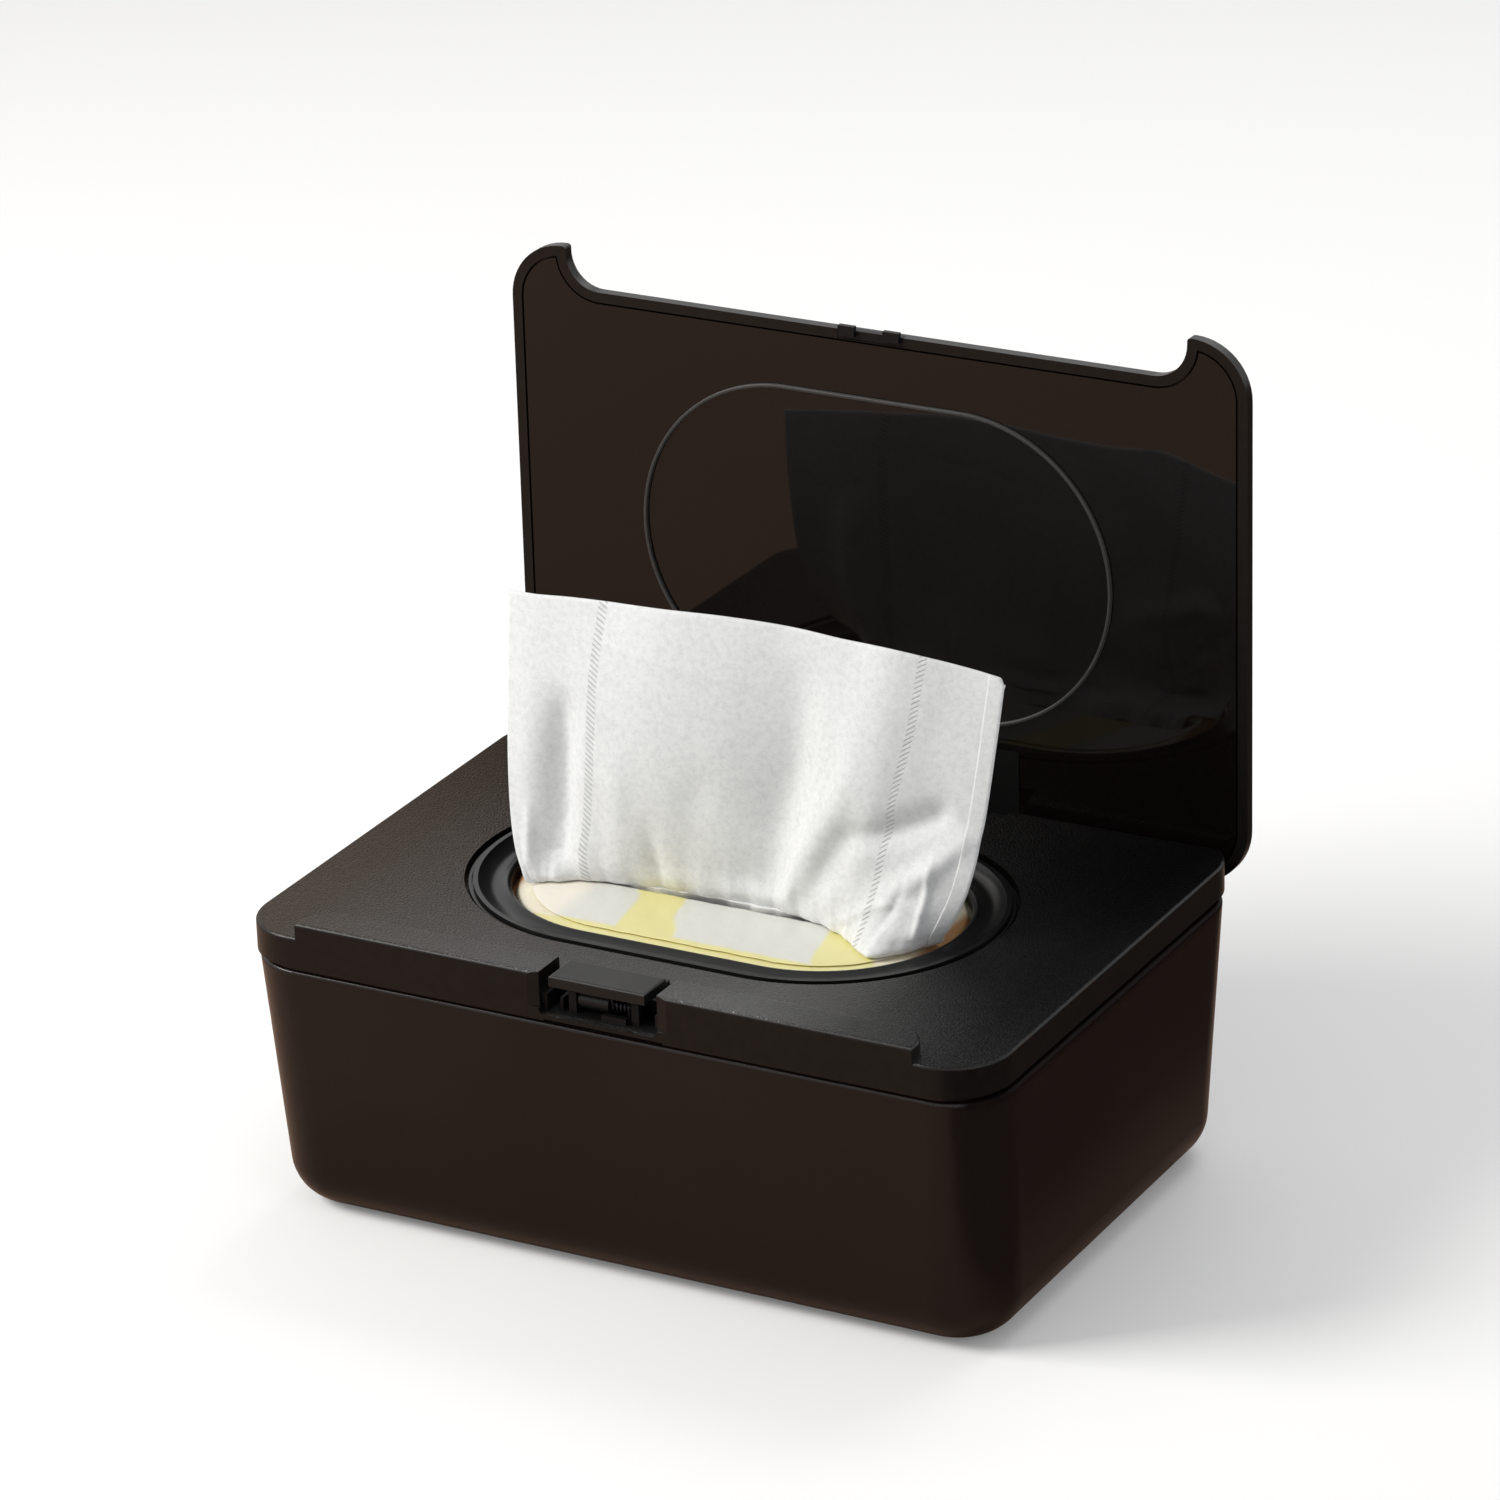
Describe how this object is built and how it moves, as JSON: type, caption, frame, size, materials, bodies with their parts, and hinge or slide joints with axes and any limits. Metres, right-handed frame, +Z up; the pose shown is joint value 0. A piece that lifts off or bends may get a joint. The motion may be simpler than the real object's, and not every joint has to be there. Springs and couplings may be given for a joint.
{
  "type": "wipes dispenser",
  "caption": "Lidded box for moist wipes: drafted tub, lift-off cover with an oval opening and a front ledge, sprung hinged lid standing open, push-button latch, refill pack.",
  "frame": {"origin": "middle of the tub's flat underside, on the surface that it stands on", "axes": "+X to the right as seen from the button's side, +Y to the hinge at the back, +Z up"},
  "size_m": [0.2006, 0.1474, 0.2041],
  "materials": {
    "tub_plastic": "injection-moulded ABS, satin gloss, dark brown-black",
    "cover_plastic": "injection-moulded ABS, fine leather grain, dark grey",
    "ring_plastic": "smooth satin ABS, dark grey",
    "button_plastic": "smooth satin ABS, dark grey",
    "lid_plastic": "injection-moulded ABS, fine grain outside, dark grey",
    "liner_plastic": "mirror-gloss ABS, dark brown",
    "inner_plastic": "plain moulded acetal, dark grey",
    "seal_rubber": "soft thermoplastic rubber, dark grey",
    "pin_steel": "ground steel pin",
    "spring_steel": "drawn spring wire",
    "pouch_film": "laminated film, cream white",
    "label_paper": "coated label stock, pale cream with soft yellow and orange patches",
    "wipe_cloth": "damp nonwoven, white, with embossed lines"
  },
  "bodies": {
    "tub": {"tub": "tub_plastic", "wipes_pouch": "pouch_film", "pouch_label": "label_paper", "wipes_stack": "wipe_cloth"},
    "cover": {"cover_frame": "cover_plastic", "opening_ring": "ring_plastic", "latch_bracket": "inner_plastic", "button_pin": "pin_steel", "button_spring": "spring_steel", "hinge_pin_left": "pin_steel", "hinge_pin_right": "pin_steel", "lid_spring_left": "spring_steel", "lid_spring_right": "spring_steel", "popped_wipe": "wipe_cloth"},
    "lid": {"lid_shell": "lid_plastic", "lid_liner": "liner_plastic", "seal_bead": "seal_rubber", "lid_catch": "inner_plastic", "hinge_arm_left": "inner_plastic", "hinge_arm_right": "inner_plastic"},
    "button": {"push_button": "button_plastic"}
  },
  "joints": [
    {"name": "cover_lift", "type": "slide", "parent": "tub", "child": "cover", "axis": [0, 0, 1], "range_m": [0, 0.06]},
    {"name": "lid_hinge", "type": "hinge", "parent": "cover", "child": "lid", "pos_m": [0, 0.06505, 0.0703], "axis": [1, 0, 0], "range_deg": [0, 90.5], "stiffness_Nm_per_rad": 0.036, "springref_deg": -57.3, "deforming": ["popped_wipe"]},
    {"name": "button_press", "type": "hinge", "parent": "cover", "child": "button", "pos_m": [0, -0.0652, 0.0732], "axis": [1, 0, 0], "range_deg": [0, 12], "stiffness_Nm_per_rad": 0.02, "springref_deg": -20.05}
  ]
}
